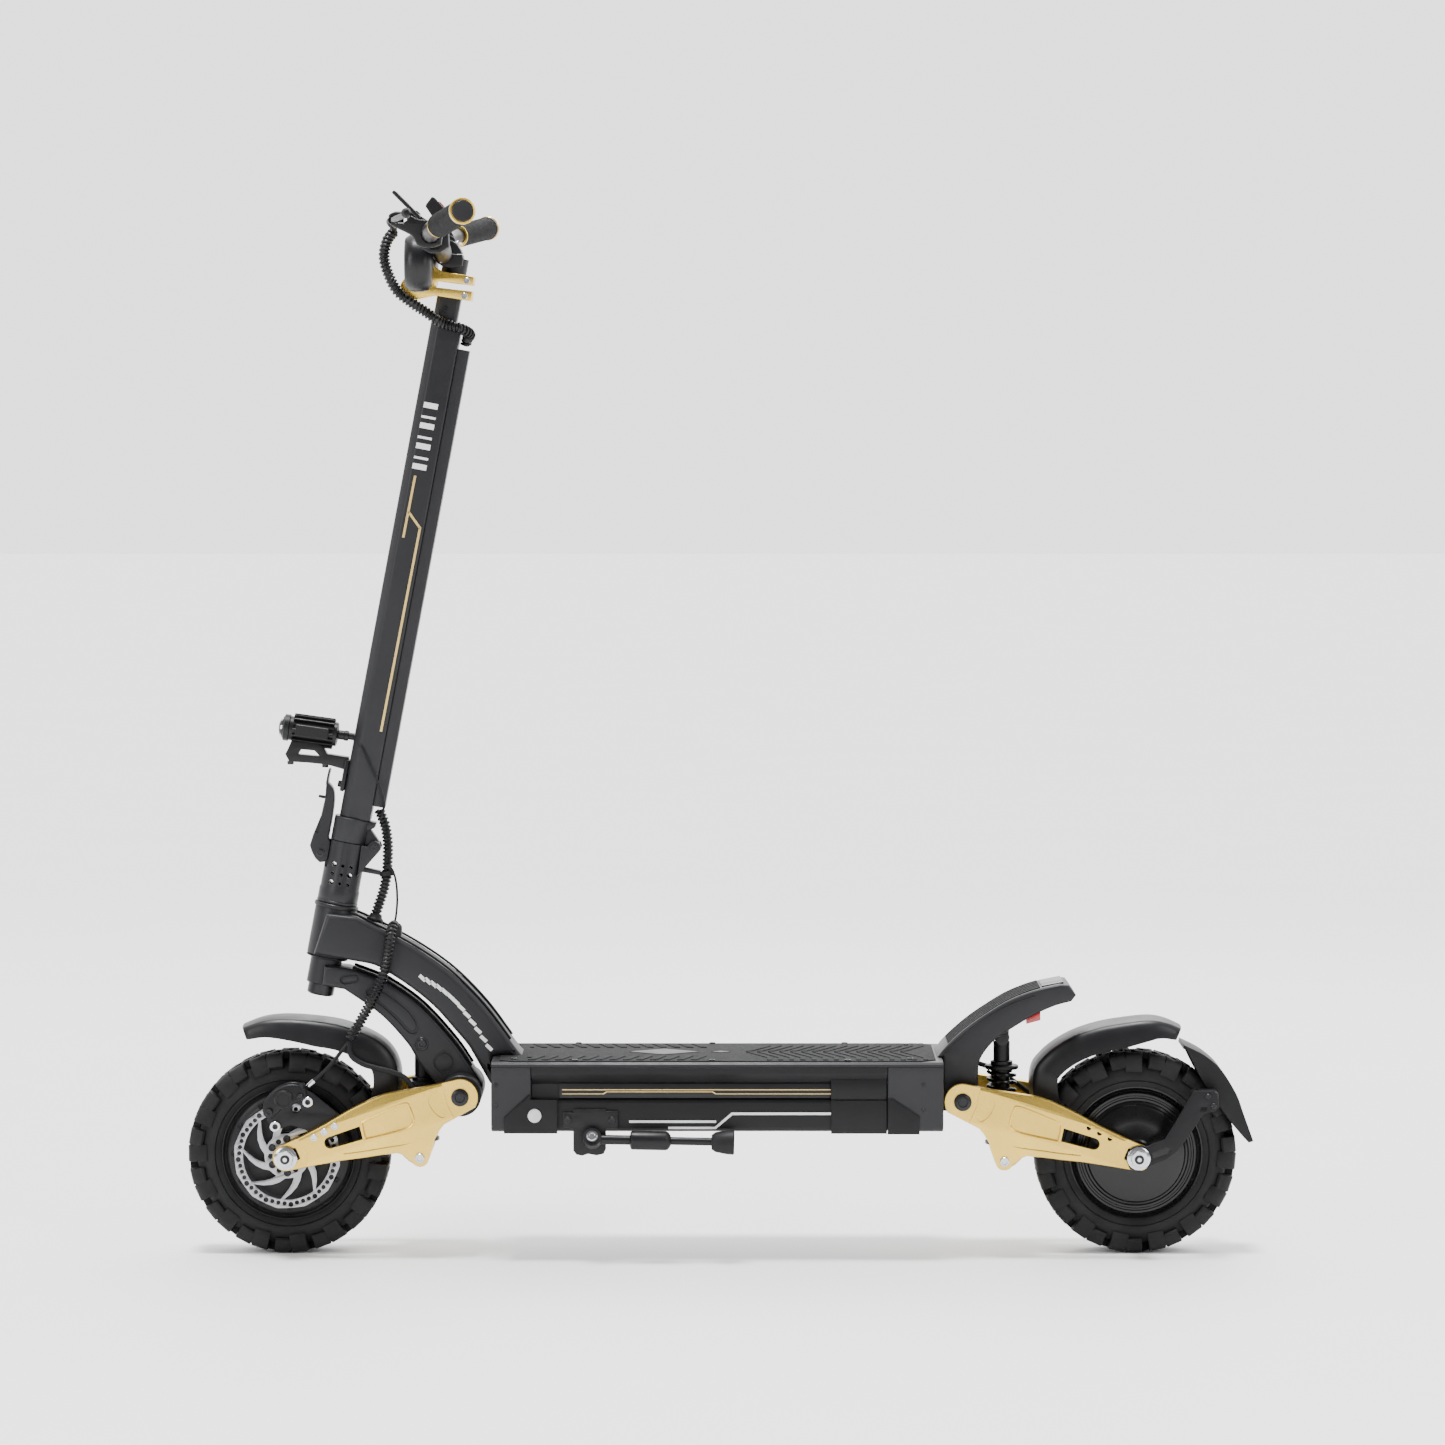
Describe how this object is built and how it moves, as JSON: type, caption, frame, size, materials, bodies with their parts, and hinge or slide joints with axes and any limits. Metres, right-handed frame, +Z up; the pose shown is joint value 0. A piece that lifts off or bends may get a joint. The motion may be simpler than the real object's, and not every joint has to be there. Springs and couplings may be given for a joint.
{
  "type": "electric kick scooter",
  "caption": "Folding electric kick scooter with hub-motor wheels, swingarm suspension, lever-latched stem, handlebar controls and a side stand.",
  "frame": {"origin": "on the ground, midway along the scooter's overall length and on its centre line", "axes": "+X forward, +Y to the rider's left, +Z up"},
  "size_m": [1.3476, 0.729, 1.346],
  "materials": {
    "graphite_metal": "satin dark graphite powder coat",
    "black_metal": "satin black",
    "black_plastic": "matt moulded plastic",
    "gold_anodised": "satin gold anodised",
    "steel": "brushed, bright",
    "tyre_rubber": "moulded rubber",
    "rubber": "soft rubber and cable wrap",
    "red_lens": "gloss red lens",
    "cell_wrap": "heat-shrink wrap"
  },
  "bodies": {
    "frame": {"deck_tray": "graphite_metal", "front_end_block": "graphite_metal", "rear_end_block": "graphite_metal", "deck_lid": "black_metal", "battery_pack": "cell_wrap", "motor_controller": "black_metal", "neck": "graphite_metal", "rear_arch": "graphite_metal", "tail_light": "red_lens", "kickstand_bracket": "black_metal", "neck_loom": "rubber", "rear_lines": "rubber"},
    "kickstand": {"kickstand": "black_metal"},
    "steerer": {"steerer_tube": "steel", "fork_arm": "graphite_metal", "stem_base": "graphite_metal", "fork_loom": "rubber"},
    "latch": {"latch_lever": "graphite_metal"},
    "stem": {"fold_collar": "graphite_metal", "stem_tube": "graphite_metal", "handlebar": "black_metal", "bar_clamp": "black_metal", "grip_left": "rubber", "grip_right": "rubber", "brake_perch_left": "black_metal", "brake_perch_right": "black_metal", "display_unit": "black_plastic", "switch_block": "black_plastic", "lamp_left": "black_plastic", "lamp_right": "black_plastic", "lamp_bracket": "gold_anodised", "lower_light": "black_metal", "upper_loom": "rubber", "fold_loom": "rubber"},
    "brake_lever_left": {"brake_lever_left": "black_metal"},
    "brake_lever_right": {"brake_lever_right": "black_metal"},
    "throttle": {"throttle_trigger": "black_plastic"},
    "horn_button": {"horn_button": "red_lens"},
    "front_swingarm": {"front_swingarm": "gold_anodised", "front_axle": "steel", "front_caliper": "black_metal", "front_fender": "black_plastic", "front_lines": "rubber"},
    "front_wheel": {"front_motor": "black_metal", "front_rotor": "steel", "front_tyre": "tyre_rubber"},
    "rear_swingarm": {"rear_swingarm": "gold_anodised", "rear_axle": "steel", "rear_caliper": "black_metal", "rear_fender": "black_plastic", "rear_mudguard": "black_plastic"},
    "rear_wheel": {"rear_motor": "black_metal", "rear_rotor": "steel", "rear_tyre": "tyre_rubber"},
    "front_shock_upper": {"front_shock_body": "black_metal", "front_shock_spring": "black_metal"},
    "front_shock_lower": {"front_shock_rod": "steel"},
    "rear_shock_upper": {"rear_shock_body": "black_metal", "rear_shock_spring": "black_metal"},
    "rear_shock_lower": {"rear_shock_rod": "steel"}
  },
  "joints": [
    {"name": "steer", "type": "hinge", "parent": "frame", "child": "steerer", "pos_m": [0.489, 0, 0.442], "axis": [-0.1857, 0, 0.9826], "range_deg": [-45, 45], "deforming": ["neck_loom", "fork_loom"]},
    {"name": "stem_fold", "type": "hinge", "parent": "steerer", "child": "stem", "pos_m": [0.44074, 0, 0.5143], "axis": [0, -1, 0], "range_deg": [0, 85], "deforming": ["fold_loom"]},
    {"name": "latch_open", "type": "hinge", "parent": "steerer", "child": "latch", "pos_m": [0.50897, 0, 0.50704], "axis": [0, 1, 0], "range_deg": [0, 95]},
    {"name": "brake_pull_left", "type": "hinge", "parent": "stem", "child": "brake_lever_left", "pos_m": [0.4, 0.158, 1.3005], "axis": [0, 0, 1], "range_deg": [0, 11], "stiffness_Nm_per_rad": 1.5, "springref_deg": -2.86},
    {"name": "brake_pull_right", "type": "hinge", "parent": "stem", "child": "brake_lever_right", "pos_m": [0.4, -0.158, 1.3005], "axis": [0, 0, -1], "range_deg": [0, 11], "stiffness_Nm_per_rad": 1.5, "springref_deg": -2.86},
    {"name": "throttle_pull", "type": "hinge", "parent": "stem", "child": "throttle", "pos_m": [0.388, -0.128, 1.274], "axis": [0, 0, -1], "range_deg": [0, 20], "stiffness_Nm_per_rad": 0.1, "springref_deg": -11.46},
    {"name": "horn_press", "type": "slide", "parent": "stem", "child": "horn_button", "axis": [0.7249, 0, -0.6889], "range_m": [0, 0.0018], "stiffness_N_per_m": 300, "springref_m": -0.001},
    {"name": "front_suspension", "type": "hinge", "parent": "steerer", "child": "front_swingarm", "pos_m": [0.33, 0, 0.204], "axis": [0, -1, 0], "range_deg": [0, 7], "stiffness_Nm_per_rad": 600, "springref_deg": -6.88, "deforming": ["front_lines"]},
    {"name": "front_wheel_spin", "type": "hinge", "parent": "front_swingarm", "child": "front_wheel", "pos_m": [0.54913, 0, 0.1275], "axis": [0, 1, 0], "continuous": true},
    {"name": "front_shock_swing", "type": "hinge", "parent": "steerer", "child": "front_shock_upper", "pos_m": [0.3804, 0, 0.266], "axis": [0, -1, 0], "range_deg": [0, 6]},
    {"name": "front_shock_stroke", "type": "slide", "parent": "front_shock_upper", "child": "front_shock_lower", "axis": [0, 0, 1], "range_m": [0, 0.012], "deforming": ["front_shock_spring"]},
    {"name": "rear_suspension", "type": "hinge", "parent": "frame", "child": "rear_swingarm", "pos_m": [-0.302, 0, 0.198], "axis": [0, 1, 0], "range_deg": [0, 8], "stiffness_Nm_per_rad": 600, "springref_deg": -6.88, "deforming": ["rear_lines"]},
    {"name": "rear_wheel_spin", "type": "hinge", "parent": "rear_swingarm", "child": "rear_wheel", "pos_m": [-0.52313, 0, 0.1275], "axis": [0, 1, 0], "continuous": true},
    {"name": "rear_shock_swing", "type": "hinge", "parent": "frame", "child": "rear_shock_upper", "pos_m": [-0.3545, 0, 0.272], "axis": [0, 1, 0], "range_deg": [0, 6]},
    {"name": "rear_shock_stroke", "type": "slide", "parent": "rear_shock_upper", "child": "rear_shock_lower", "axis": [0, 0, 1], "range_m": [0, 0.012], "deforming": ["rear_shock_spring"]},
    {"name": "kickstand_swing", "type": "hinge", "parent": "frame", "child": "kickstand", "pos_m": [0.163, 0.115, 0.157], "axis": [0, -0.866, -0.5], "range_deg": [0, 100]}
  ],
  "couplings": [
    {"joint": "front_shock_swing", "follows": "front_suspension", "ratio": 0.55},
    {"joint": "front_shock_stroke", "follows": "front_suspension", "m_per_rad": 0.0525},
    {"joint": "rear_shock_swing", "follows": "rear_suspension", "ratio": 0.5},
    {"joint": "rear_shock_stroke", "follows": "rear_suspension", "m_per_rad": 0.0525}
  ]
}
